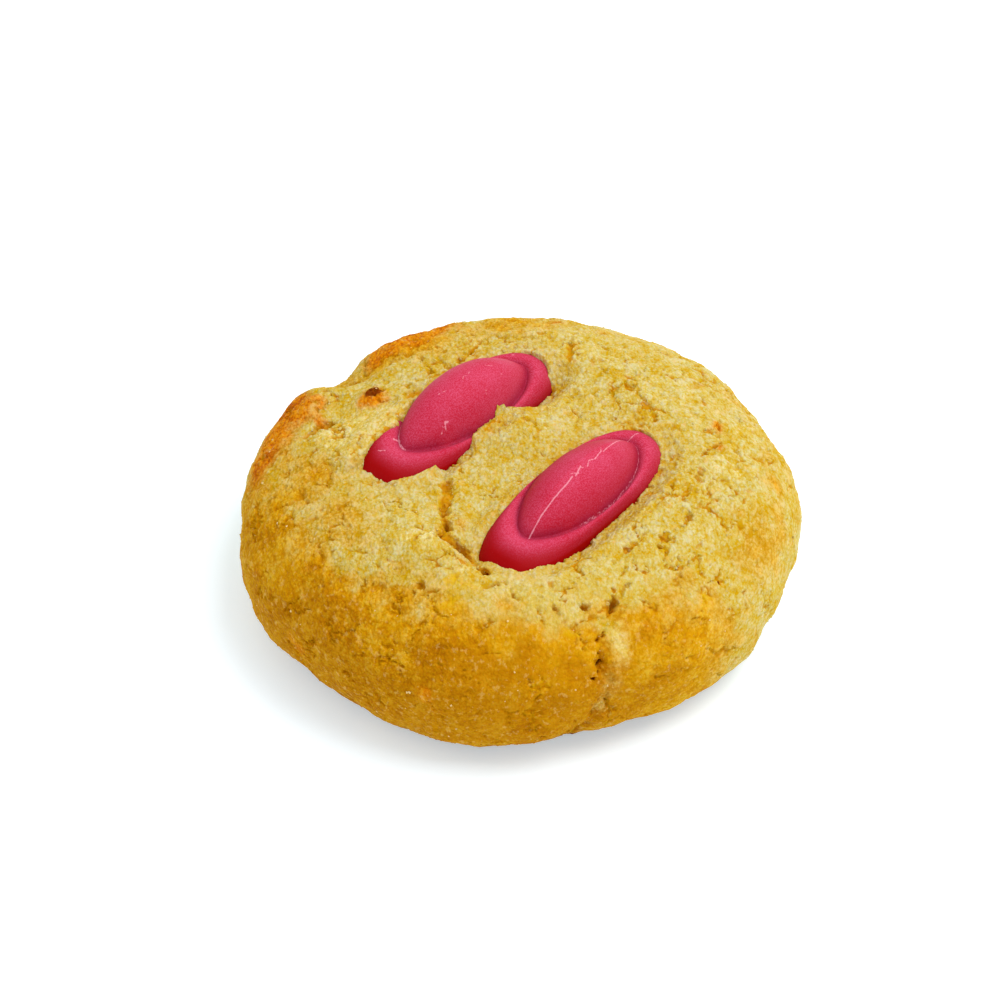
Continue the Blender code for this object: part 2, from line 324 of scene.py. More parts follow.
def new_material(name, roughness, specular, subsurface=0.0, radius=(MM, MM, MM)):
    """A material with a Principled shader, returned with its node tree and that shader."""
    material = bpy.data.materials.new(name)
    material.use_nodes = True
    tree = material.node_tree
    shader = tree.nodes["Principled BSDF"]
    shader.inputs["Roughness"].default_value = roughness
    shader.inputs["Specular IOR Level"].default_value = specular
    shader.inputs["Subsurface Weight"].default_value = subsurface
    shader.inputs["Subsurface Radius"].default_value = radius
    shader.inputs["Subsurface Scale"].default_value = 1.0
    return material, tree, shader


def mask(tree, name):
    """A mesh's mask of this name."""
    return Socket.node(tree, "ShaderNodeAttribute", {"attribute_name": name}, {}, "Fac")


def place_in(tree):
    """Places on the surface, in metres in the piece's own frame."""
    return Socket.node(tree, "ShaderNodeTexCoord", {}, {}, "Object")


def grain(tree, place, size, detail=2.0, roughness=0.5, distortion=0.0):
    """Noise from 0 to 1 with spots of this size."""
    values = {"Vector": place, "Scale": 1 / size, "Detail": detail, "Roughness": roughness}
    return Socket.node(tree, "ShaderNodeTexNoise", {}, values | {"Distortion": distortion}, "Fac")


def cells(tree, place, size, output):
    """Grains of this size packed side by side: the Distance from each one's middle, or its own Color."""
    return Socket.node(tree, "ShaderNodeTexVoronoi", {}, {"Vector": place, "Scale": 1 / size}, output)


def ramp(tree, value, low, high):
    """0 where value is below low, 1 above high, with a smooth rise between."""
    inputs = {"Value": value, "From Min": low, "From Max": high, "To Min": 0.0, "To Max": 1.0}
    return Socket.node(tree, "ShaderNodeMapRange", {"interpolation_type": "SMOOTHSTEP"}, inputs, "Result")


def blend(tree, factor, first, second):
    """A mix of two colours."""
    return Socket.node(tree, "ShaderNodeMix", {"data_type": "RGBA"}, {0: factor, 6: first, 7: second}, 2)


def feed(tree, socket, shader, name):
    tree.links.new(socket.output, shader.inputs[name])


def bump(tree, shader, relief, strength, depth):
    """Dents the shading by this relief, which is at most about this deep."""
    inputs = {"Height": relief, "Strength": strength, "Distance": depth}
    feed(tree, Socket.node(tree, "ShaderNodeBump", {}, inputs, "Normal"), shader, "Normal")


CHOCOLATE_PINK = linear(190, 30, 58)
CHOCOLATE_PALE = linear(212, 86, 120)
# painted shade in the crease at the foot of the dome
CHOCOLATE_CREASE_SHADE = linear(126, 16, 54)
# painted shade on the outside of the rim and the dome's steep flanks
CHOCOLATE_SHADE_RED = linear(154, 0, 4)
CHOCOLATE_SCUFF_AND_HIGHLIGHT = linear(236, 160, 176)


def chocolate_material():
    material, tree, shader = new_material(
        "strawberry chocolate", roughness=0.5, specular=0.06, subsurface=0.1,
        radius=(1.2 * MM, 0.4 * MM, 0.4 * MM),
    )
    place = place_in(tree)
    bloom = ramp(tree, grain(tree, place, 5 * MM, 3.0), 0.3, 0.75)
    speckle = grain(tree, place, 0.17 * MM, 3.0, 0.7)
    foot = mask(tree, "foot") * ramp(tree, grain(tree, place, 4 * MM), 0.2, 0.6)
    worn = ramp(tree, mask(tree, "worn") + (grain(tree, place, 0.35 * MM, 2.0) - 0.5) * 1.5, 0.3, 0.75)
    pale = bloom * 0.25 + ramp(tree, speckle, 0.42, 0.62) * 0.6
    colour = blend(tree, pale, CHOCOLATE_PINK, CHOCOLATE_PALE)
    # Painted shade: a darker, redder outside of the rim and steep flanks of the dome.
    colour = blend(tree, mask(tree, "deep"), colour, CHOCOLATE_SHADE_RED)
    # Painted shade: blotches of dark purplish red in the crease at the foot of the dome.
    colour = blend(tree, foot * 0.45, colour, CHOCOLATE_CREASE_SHADE)
    # White scuffs, and along the back dome's foot partly a painted highlight.
    colour = blend(tree, worn * 0.6, colour, CHOCOLATE_SCUFF_AND_HIGHLIGHT)
    feed(tree, colour, shader, "Base Color")
    feed(tree, 0.46 + speckle * 0.12 + worn * 0.2, shader, "Roughness")
    relief = speckle * 0.6 + grain(tree, place, 1.3 * MM) * 0.25 + worn * 0.4
    bump(tree, shader, relief, strength=0.5, depth=0.1 * MM)
    return material


def in_scene(name, data):
    """A new object of the scene, from a mesh, a light or a camera."""
    thing = bpy.data.objects.new(name, data)
    bpy.context.scene.collection.objects.link(thing)
    return thing


def add_piece(name, mesh, material, matrix=Matrix()):
    """A piece of the cookie: it rides on its one body and takes this material."""
    piece = in_scene(name, mesh)
    piece.matrix_world = matrix
    mesh.materials.append(material)
    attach(piece, "root")
    return piece


pink = chocolate_material()
beds = {}
for name, (place, turns) in CHOCOLATES.items():
    lie = Euler([math.radians(turn) for turn in turns]).to_matrix().to_4x4()
    matrix = Matrix.Translation(place + CENTRING) @ lie
    chocolate = add_piece(f"{name}_casting", chocolate_mesh(name), pink, matrix)
    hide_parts(name)
    corners = [matrix @ vertex.co for vertex in chocolate.data.vertices]
    faces = [tuple(face.vertices) for face in chocolate.data.polygons]
    beds[name] = (matrix, BVHTree.FromPolygons(corners, faces))

# ----------------------------------------------------------
# The dough: one soft round of short, sugary dough that spread and cracked as it baked. Its crust is pale
# yellow on top and golden where it browned, torn into lips at the back left, split at the front, and it
# closes over the foot of each chocolate's rim.
# ----------------------------------------------------------

COOKIE_HEIGHT = 24.0 * MM
WIDEST_HEIGHT = 9.5 * MM
NOMINAL_RADIUS = 37.5 * MM
SHOULDER_FULLNESS = 2.5  # exponent of the side's curve: 2 is an ellipse, more is fuller
UNDERCUT_DEPTH = 13.5 * MM  # how far below its widest the side's curve would close without the base
DISH_DEPTH = 2.0 * MM
DISH_SHARE = 0.5  # share of the radius that the dished top takes up
FOOT_ROUNDING = 0.8 * MM
# Distance from the middle to the side, every 22.5 degrees, counterclockwise from +X, in millimetres.
OUTLINE_RADII = [37.5, 36.5, 37, 37, 37, 36.5, 34.5, 37, 37, 37.5, 36.5, 37, 36.5, 35.5, 36.5, 36.5]

# Places on the dough are given as on a map of it from above with its sides folded out flat: (x, y) in
# millimetres, where the distance from the middle is walked along the surface.
# Lumps and hollows: (x, y), radius and height of each.
LUMPS = [
    ((-30, 17), 5, 1.2), ((-20, 28), 5, 0.7), ((-25, 22), 3.5, -1.4), ((-24, 10), 4.5, -1.0),
    ((-12, -18), 4.5, 1.3), ((-8, -24), 4.5, 0.9), ((-6, -17), 3.0, -1.0), ((0, 5), 4.5, 1.5),
    ((2, -32), 7, 0.7), ((19, -31), 6.5, 0.8), ((-26, -24), 8, 0.6), ((30, -8), 8, 0.5),
    ((10, -48), 2.5, -1.4), ((-20.7, 13.2), 1.7, 0.9), ((-28.5, 13), 2.0, 0.8), ((-7.5, -20.5), 1.6, 0.5),
    ((-8, -13), 1.8, 0.6),
]
# Holes: (x, y), radius, depth and how brown each is painted inside, partly its own colour, partly painted
# shade.
HOLES = [
    ((-27.4, 7.6), 1.3, 1.6, 1.1), ((-4.7, -22.0), 0.9, 1.6, 1.4), ((-25.8, 9.2), 0.8, 1.0, 0.9),
    ((-8.3, 19.8), 0.9, 1.2, 1.1), ((-9.4, 18.6), 0.7, 0.8, 0.6), ((-13.1, 18.4), 0.6, 0.7, 0.6),
    ((-15.0, 12.8), 1.1, 1.3, 0.8), ((-14.5, 11.6), 0.6, 0.7, 0.6), ((4.5, 15.6), 0.6, 1.0, 1.0),
    ((4.9, 14.5), 0.5, 0.8, 0.9), ((-12.7, -24.1), 0.75, 1.0, 0.8), ((-13.9, -25.1), 0.45, 0.6, 0.6),
    ((-18.2, -23.6), 0.5, 0.5, 0.5), ((-24.5, -17), 0.45, 0.5, 0.5), ((-29, -5.5), 0.9, 0.7, 0.5),
    ((-27.7, -6.8), 0.6, 0.6, 0.5), ((8.9, -28), 0.8, 0.9, 0.8), ((8.3, -28.1), 0.6, 0.7, 0.7),
    ((12.5, -24.9), 0.4, 0.7, 1.0), ((14.4, -17.9), 0.7, 0.9, 0.7), ((15.1, -17.3), 0.6, 0.6, 0.6),
    ((19.2, -15.3), 0.8, 0.9, 0.7), ((18.8, -17.1), 0.55, 0.9, 0.9), ((20.3, -15.6), 0.5, 0.5, 0.6),
    ((22.6, -11.4), 0.6, 0.7, 0.6), ((22.0, -12.3), 0.6, 0.6, 0.6), ((24.1, -9), 0.6, 0.35, 0.45),
    ((25.4, -9.6), 0.5, 0.3, 0.4), ((23.8, -2.9), 0.5, 0.5, 0.5), ((23.5, -4.2), 0.5, 0.5, 0.5),
    ((29, 2.2), 0.6, 0.6, 0.6), ((27, 6.9), 0.6, 0.5, 0.5), ((24.5, 16.2), 0.8, 0.4, 0.4),
    ((16.3, 9), 0.8, 0.4, 0.4), ((18.4, 7), 0.5, 0.5, 0.45), ((20.7, 5.9), 0.5, 0.4, 0.45),
    ((31, 7), 0.5, 0.4, 0.6), ((12.3, -20.9), 0.4, 0.4, 0.5), ((27.1, -20.6), 0.26, 0.3, 1.7),
    ((23.9, -16), 0.5, 0.3, 0.4), ((24.6, -33.8), 0.55, 0.4, 0.6), ((10.3, -37.4), 0.45, 0.8, 1.4),
    ((14, -41.6), 0.6, 0.5, 0.5), ((-1, -26.2), 0.45, 0.5, 0.5), ((4.6, -28.6), 0.45, 0.5, 0.5),
    ((-3.5, -24.4), 0.5, 0.6, 0.5), ((-1.6, -3.5), 0.5, 0.4, 0.5), ((-19.1, -38), 0.4, 0.4, 1.0),
    ((-7.2, -37.6), 0.4, 0.4, 1.0), ((-14, -44.5), 0.7, 0.3, 0.9), ((-32.7, -26.8), 0.7, 0.3, 0.9),
    ((-35.5, -28.6), 0.6, 0.3, 1.0), ((-36.6, -20.9), 0.6, 0.4, 0.9),
]
# Splits and cracks: half width, depth, how brown each is painted inside (partly its own colour, partly
# painted shade), and the paths of its kind.
CRACKS = [
    (1.0, 1.4, 0.8, [
        [(-9.6, -5.0), (-9.3, -7.6)], [(-29, 6.8), (-27.2, 7.6), (-26, 8.8)],
        [(-9.9, -8.4), (-10.1, -11), (-9.8, -14.6)], [(-10.4, -15.6), (-8.6, -17.2), (-6.6, -18.6)],
    ]),
    (1.5, 0.9, 0.1, [
        [(12.3, -28.5), (11.4, -31.5), (11.2, -35), (12.4, -38), (12.6, -42), (11.2, -47)],
    ]),
    (0.6, 1.6, 0.9, [
        [(-9.9, -8.4), (-10.1, -11), (-9.8, -14.6), (-10.4, -15.6)],
        [(-8.4, -17.4), (-6.2, -18.9), (-5.4, -20.8), (-4.8, -22.4)],
        [(12.6, -26.3), (12.4, -27.9), (11.9, -29)],
    ]),
    (0.4, 1.5, 1.3, [
        [(-6.6, -20.4), (-5.9, -21), (-5, -22.2)], [(11.3, -31), (10.8, -31.9), (10.6, -32.6)],
        [(11.2, -34), (11.7, -35), (11.4, -35.9)], [(10.6, -36.8), (10.2, -37.7)],
        [(-5.6, 24.6), (-5.9, 23), (-6.7, 21.9), (-7.6, 20.4)], [(24.2, 0.4), (25.2, 1.6), (26.4, 3)],
        [(19, -16.4), (18.6, -17.8)],
    ]),
    (0.4, 0.7, 0.5, [
        [(14.5, -24), (13, -27), (12.2, -28.5)], [(12.2, -26.8), (13.5, -27.9), (14.6, -27.2)],
        [(12.4, -39.5), (14.2, -41.1), (14.6, -42.7)], [(11.6, -41), (11.9, -43), (11, -46), (11, -50)],
        [(22.5, -10.4), (22.4, -11.6), (21.4, -12.8)], [(21, -18.4), (21.1, -20.2), (20.8, -22.4)],
        [(3.4, -27.8), (5.2, -29.2)], [(-1.6, -25.6), (-0.4, -27)],
        [(7.6, 25.6), (7.2, 23.3), (7.3, 21.4)], [(29, 3.4), (29.1, 1.2)], [(27.4, 8.5), (26.7, 4.7)],
        [(-13.4, -14.8), (-12, -16.4), (-10.6, -17)], [(-4.6, -24.8), (-2.2, -24.2)],
        [(-16.4, 12.6), (-14.8, 12.2), (-14.2, 10.6)], [(-4.1, 30.4), (-4.3, 28.6)],
        [(-14.2, 22), (-13.9, 20)],
    ]),
    (0.26, 0.6, 0.7, [
        [(-23, -10.5), (-23.1, -11.6), (-22.6, -12.6), (-22.8, -13.6)],
        [(-17.7, -8.8), (-17.3, -10), (-17.2, -11)], [(-14.3, -10.2), (-13.2, -11.8)],
        [(-21.7, -17.7), (-20.8, -17.9), (-20.1, -18.7)],
        [(-27.8, -21.4), (-27.3, -21.3), (-26.8, -21.5)], [(-24, -28.6), (-22.6, -28.5), (-21.4, -27.7)],
        [(-14.5, -30.9), (-13.4, -29.9), (-12.3, -29.1), (-11.8, -26.8)],
        [(-17.4, -33), (-16.8, -33.9), (-15.8, -34.5)], [(-23.2, -31.8), (-21.4, -31.9), (-20, -32.5)],
        [(-25.2, -34.4), (-24.4, -33.4)], [(-13, -39.2), (-12.4, -41), (-11.8, -42.4)],
        [(-7.7, -35.4), (-7.4, -36.6), (-6.8, -37.7), (-5, -37.7)], [(-5.2, -30), (-5.3, -32.4)],
        [(1.7, 24.9), (1.7, 23.4)], [(-2, 24.6), (0.6, 24.9), (3, 24.2)], [(18.4, -25.6), (19, -26.6)],
        [(25, -17.6), (25.5, -18.8)], [(30.4, 2.5), (33, 2.5)], [(-28.2, -6), (-27.6, -7.4)],
        [(-8.5, -12), (-7, -15)], [(-17.8, -19.6), (-16.4, -20.6), (-16.2, -22)],
        [(29, -10.6), (29.6, -11.2)],
    ]),
]
# How far noise pulls the edges of cracks, holes and patches about, and in bends of which size: wide ones
# and fine frays.
TEAR, TEAR_SIZE = 0.5 * MM, 2.5 * MM
FRAY, FRAY_SIZE = 0.45 * MM, 0.8 * MM
# The even relief of the crust: how high its swells and rolls stand, and how wide they are.
SWELL, SWELL_SIZE = 0.45 * MM, 12 * MM
ROLL, ROLL_SIZE = 0.35 * MM, 4.5 * MM
# The crumb: widths of its clumps, grains, cells with seams between them, pits, and plates with fissures
# between them, and in millimetres how high or deep each is.
CLUMP_SIZE, CLUMP_RISE = 2.2 * MM, 0.17
GRAIN_SIZE, GRAIN_RISE = 0.8 * MM, 0.11
CELL_SIZE, CELL_RISE = 1.2 * MM, 0.16
PIT_SIZE, PIT_DEPTH = 1.6 * MM, 0.28
PLATE_SIZE, FISSURE_DEPTH = 3.6 * MM, 0.45

FOOT_ANGLE = 0.72 * math.pi  # polar angle on the sphere that lands on the base edge
DOUGH_CUTS = 199  # across each face of the cube that is blown up into the dough
DOUGH_KEPT = 0.4  # share of the triangles that is kept, fewest where the dough is smooth

# How high the dough meets each rim: millimetres over the foot of the dome, by the angle round it in
# degrees.
DOUGH_LEVEL = {
    "chocolate_back": [
        (0, 0.6), (20, 0.3), (45, 0), (80, 0.1), (96, 0.6), (130, 0.8), (152, 0.7), (161, 0.2), (168, -1.0),
        (190, -0.9), (196, -0.1), (208, 0.3), (242, 0.2), (247, -0.5), (252, -1.1), (258, -0.7),
        (265, -0.2), (267, 1.0), (285, 1.1), (288, -0.3), (293, -1.0), (300, -1.6), (312, -1.8),
        (324, -1.5), (333, -0.3), (342, 0.5),
    ],
    "chocolate_front": [
        (0, 0.4), (20, 0.1), (60, 0.1), (110, 0.2), (135, -0.6), (150, -1.3), (161, -1.7), (177, -0.8),
        (187, -0.2), (221, -0.3), (240, -0.9), (260, -1.3), (272, -1.2), (290, -1.0), (310, -0.8),
        (333, -0.4), (347, 0.1),
    ],
}
# How far the dough laps in over the rim, in millimetres by the same angles, where it rose over it.
DOUGH_LAP = {
    "chocolate_back": [
        (88, 0), (92, 0.4), (101, 1.6), (121, 2.1), (144, 1.7), (155, 1.2), (161, 0.8), (168, 0), (266, 0),
        (267, 1.2), (274, 1.3), (279, 1.8), (284, 1.8), (288, 0),
    ],
    "chocolate_front": [(0, 0)],
}
LAPPING = 0.3 * MM  # the least lap that counts as dough over the rim
RIM_GAP = 0.3 * MM  # how far out from the rim's edge the dough has its level there
BED_REACH = 7 * MM  # how far out from each rim the dough is fitted to it, and how far down
BED_DEPTH = 8 * MM
DIVE = 1.2 * MM  # how far the dough drops away under the chocolate


def outline_radius(azimuth):
    """Radius of the widest outline at each azimuth: a smooth closed curve through OUTLINE_RADII."""
    count = len(OUTLINE_RADII)
    place = np.mod(azimuth, 2 * math.pi) * count / (2 * math.pi)
    first = np.floor(place).astype(int)
    t = place - first
    radii = np.array(OUTLINE_RADII) * MM
    before, start, end, after = (radii[(first + k) % count] for k in (-1, 0, 1, 2))
    slope_in, slope_out = (end - before) / 2, (after - start) / 2
    return (
        (2 * t**3 - 3 * t**2 + 1) * start
        + (t**3 - 2 * t**2 + t) * slope_in
        + (3 * t**2 - 2 * t**3) * end
        + (t**3 - t**2) * slope_out
    )


def side_curve(samples=400):
    """The side's profile from top centre to base edge: share of the radius, height and length walked."""
    turn = np.linspace(0, math.pi / 2, samples)
    drop = np.linspace(0, 1, samples // 2)[1:]
    power = 2 / SHOULDER_FULLNESS
    share = np.sin(turn) ** power
    height = WIDEST_HEIGHT + (COOKIE_HEIGHT - WIDEST_HEIGHT) * np.cos(turn) ** power
    height -= DISH_DEPTH * np.exp(-((share / DISH_SHARE) ** 4))
    undercut = (1 - (drop * WIDEST_HEIGHT / UNDERCUT_DEPTH) ** SHOULDER_FULLNESS) ** (1 / SHOULDER_FULLNESS)
    share = np.concatenate([share, undercut])
    height = np.concatenate([height, WIDEST_HEIGHT * (1 - drop)])
    walked = np.concatenate([[0], np.cumsum(np.hypot(np.diff(share) * NOMINAL_RADIUS, np.diff(height)))])
    return share, height, walked


SHARE, HEIGHT, WALKED = side_curve()
FULL_WALK = WALKED[-1]


def surface(azimuth, walk):
    """Points of the smooth dough at these azimuths, walk metres along the surface from its top centre."""
    share = np.interp(walk, WALKED, SHARE)
    height = np.interp(walk, WALKED, HEIGHT)
    radius = outline_radius(azimuth) * share
    return np.stack([radius * np.cos(azimuth), radius * np.sin(azimuth), height], -1)


def on_map(places):
    """The points of the smooth dough at these (x, y) places of the map, in millimetres."""
    x, y = np.array(places, float).T * MM
    return surface(np.arctan2(y, x), np.hypot(x, y))


def smooth_dough(directions):
    """The smooth dough at these directions of a sphere, whose lower cap becomes the flat underside."""
    azimuth = np.arctan2(directions[:, 1], directions[:, 0])
    polar = np.arccos(np.clip(directions[:, 2], -1, 1))
    points = surface(azimuth, np.minimum(polar / FOOT_ANGLE, 1) * FULL_WALK)
    points[:, :2] *= np.clip((math.pi - polar) / (math.pi - FOOT_ANGLE), 0, 1)[:, None]
    return points


def spot(points, place, radius):
    """1 at a place of the map, falling off round it."""
    distance = np.linalg.norm(points - on_map([place])[0], axis=1)
    return np.exp(-((distance / (radius * MM)) ** 2))


ball = bmesh.new()
bmesh.ops.create_cube(ball, size=2)
bmesh.ops.subdivide_edges(ball, edges=ball.edges[:], cuts=DOUGH_CUTS, use_grid_fill=True)
for vert in ball.verts:
    vert.co = Vector([math.tan(c * math.pi / 4) for c in vert.co]).normalized()
dough_mesh = bpy.data.meshes.new("cookie_dough")
ball.to_mesh(dough_mesh)
ball.free()

smooth = smooth_dough(vertices_of(dough_mesh))
move_vertices(dough_mesh, smooth)
normals = normals_of(dough_mesh)

torn = smooth + TEAR * np.stack([noise_field(smooth, TEAR_SIZE, 2, seed) for seed in (20, 21, 22)], -1)
torn += FRAY * np.stack([noise_field(smooth, FRAY_SIZE, 2, seed) for seed in (23, 24, 25)], -1)
relief = SWELL * noise_field(smooth, SWELL_SIZE, 2, seed=3)
relief += ROLL * noise_field(smooth, ROLL_SIZE, 2, seed=9)
for place, radius, height in LUMPS:
    relief += height * MM * spot(smooth, place, radius)

# The crumb is rougher in some places than in others and smoother down the side. It is pitted here and
# there, with fissures where the crust opened as it dried.
rough = smooth_step(0.5 + 0.9 * noise_field(smooth, 14 * MM, 2, seed=50))
clump = noise_field(torn, CLUMP_SIZE, 3, seed=51)
grains = noise_field(smooth, GRAIN_SIZE, 2, seed=53)
middle, seam = cell_field(torn, CELL_SIZE, seed=56)
_, split = cell_field(torn, PLATE_SIZE, seed=57)
fissure = np.exp(-((split / 0.05) ** 2))
fissure *= smooth_step((noise_field(smooth, 4 * MM, 2, seed=55) - 0.12) / 0.2)
pitted = smooth_step((noise_field(torn, PIT_SIZE, 2, seed=52) - 0.42) / 0.2)
side = smooth_step((19 * MM - smooth[:, 2]) / (5 * MM))
fine = CLUMP_RISE * clump + GRAIN_RISE * grains + CELL_RISE * (0.5 - middle)
fine = fine * (0.6 + 0.6 * rough) * (1 - 0.45 * side) * MM
fine -= (PIT_DEPTH * pitted * rough + FISSURE_DEPTH * fissure) * MM
# Ochre and brown get painted into pits, fissures, seams, holes and cracks: partly the crumb's own colour
# there, partly painted shade.
hollow = 0.4 * pitted * rough + 0.7 * fissure + 0.15 * np.exp(-((seam / 0.08) ** 2)) * rough
for place, radius, depth, inside_brown in HOLES:
    distance = np.linalg.norm(torn - on_map([place])[0], axis=1) / (radius * MM) + 0.5 * clump
    sunk = 1 - smooth_step((distance - 0.35) / 0.9)
    fine -= 0.8 * depth * MM * sunk
    hollow = np.maximum(hollow, inside_brown * sunk)
for half_width, depth, inside_brown, paths in CRACKS:
    for path in paths:
        line = on_map(fine_path(path, 0.3))
        distance = distance_to_path(torn, line, 3 * half_width * MM) / (half_width * MM)
        sunk = 1 - smooth_step(distance / 1.15)
        fine -= depth * MM * sunk * (0.7 + 0.8 * clump)
        hollow = np.maximum(hollow, inside_brown * sunk)
relief += fine

standing = smooth_step(smooth[:, 2] / FOOT_ROUNDING)
points = smooth + normals * (relief * standing)[:, None]
points[:, 2] = np.maximum(points[:, 2], 0)
points[:, :2] *= (1 - 0.5 * FOOT_ROUNDING / NOMINAL_RADIUS * (1 - standing))[:, None]
points += np.array(CENTRING)


def moved(points, matrix):
    """These points turned and shifted by a matrix."""
    matrix = np.array(matrix)
    return points @ matrix[:3, :3].T + matrix[:3, 3]


# The dough closes over the foot of each rim with a ragged edge, with a gap here and there darkened by
# painted shade, and takes some of the chocolate's colour. Under the chocolate it drops away, all of it
# inside the rim's crest.
blush = np.zeros(len(points))
ragged = noise_field(smooth, 1.3 * MM, 2, seed=60) + 0.5 * noise_field(smooth, 0.6 * MM, 1, seed=61)
open_gap = smooth_step((noise_field(smooth, 1.8 * MM, 2, seed=62) - 0.3) / 0.25)
for name, (matrix, casting) in beds.items():
    local = moved(points, matrix.inverted())
    square = np.where(local[:, 0] < 0, *RIM_SQUARENESS)
    x = np.abs(local[:, 0]) / (RIM_LENGTH / 2)
    y = np.abs(local[:, 1]) / (RIM_WIDTH / 2)
    out = (x**square + y**square) ** (1 / square)
    slope = np.hypot(x ** (square - 1) / (RIM_LENGTH / 2), y ** (square - 1) / (RIM_WIDTH / 2))
    slope = slope * np.maximum(out, 1e-6) ** (1 - square)
    gap = (out - 1) / np.maximum(slope, 1e-6)
    upper = local[:, 2] > -BED_DEPTH
    along = np.copysign(x ** (square / 2), local[:, 0])
    across = np.copysign(y ** (square / 2), local[:, 1])
    turn = np.degrees(np.arctan2(across, along)) % 360
    level = np.interp(turn, *zip(*DOUGH_LEVEL[name]), period=360) * MM
    lap = np.interp(turn, *zip(*DOUGH_LAP[name]), period=360) * MM
    blush = np.maximum(blush, np.exp(-np.abs(gap) / (1.5 * MM)) * upper)
    crevice = open_gap * np.exp(-((gap / (0.4 * MM)) ** 2)) * (lap < LAPPING) * upper
    # Painted shade: the open gaps beside the rim are darkened.
    hollow = np.maximum(hollow, 0.8 * crevice)
    settled = 0.8 * MM + 1.3 * np.minimum(np.abs(local[:, 2] - level), 1.4 * MM)
    near = upper * (1 - smooth_step((gap - RIM_GAP) / settled))
    wanted = level + 0.1 * MM * ragged + 0.6 * fine - 0.5 * MM * crevice
    height = local[:, 2] + near * (wanted - local[:, 2])
    for k in np.flatnonzero(upper & (gap < RIM_GAP)):
        above = matrix @ Vector((local[k, 0], local[k, 1], 20 * MM))
        hit = casting.ray_cast(above, -matrix.col[2].to_3d())[0]
        if not hit:
            continue
        top = (matrix.inverted() @ hit).z
        lapped = (gap[k] + lap[k] + 0.25 * MM * ragged[k]) / (0.35 * MM)
        if lap[k] > LAPPING and lapped > 0:
            height[k] = max(height[k], top + (0.1 + 0.4 * min(lapped, 1) ** 0.5) * MM)
        else:
            dives = max((top - height[k]) / (0.4 * MM), (-0.9 * MM - gap[k]) / (0.3 * MM), 0)
            height[k] -= min(dives, 1) * DIVE
            if dives >= 1:
                height[k] = min(height[k], top - 0.8 * MM)
    local[:, 2] = np.where(upper, height, local[:, 2])
    points = np.where((upper & (gap < BED_REACH))[:, None], moved(local, matrix), points)

move_vertices(dough_mesh, points)

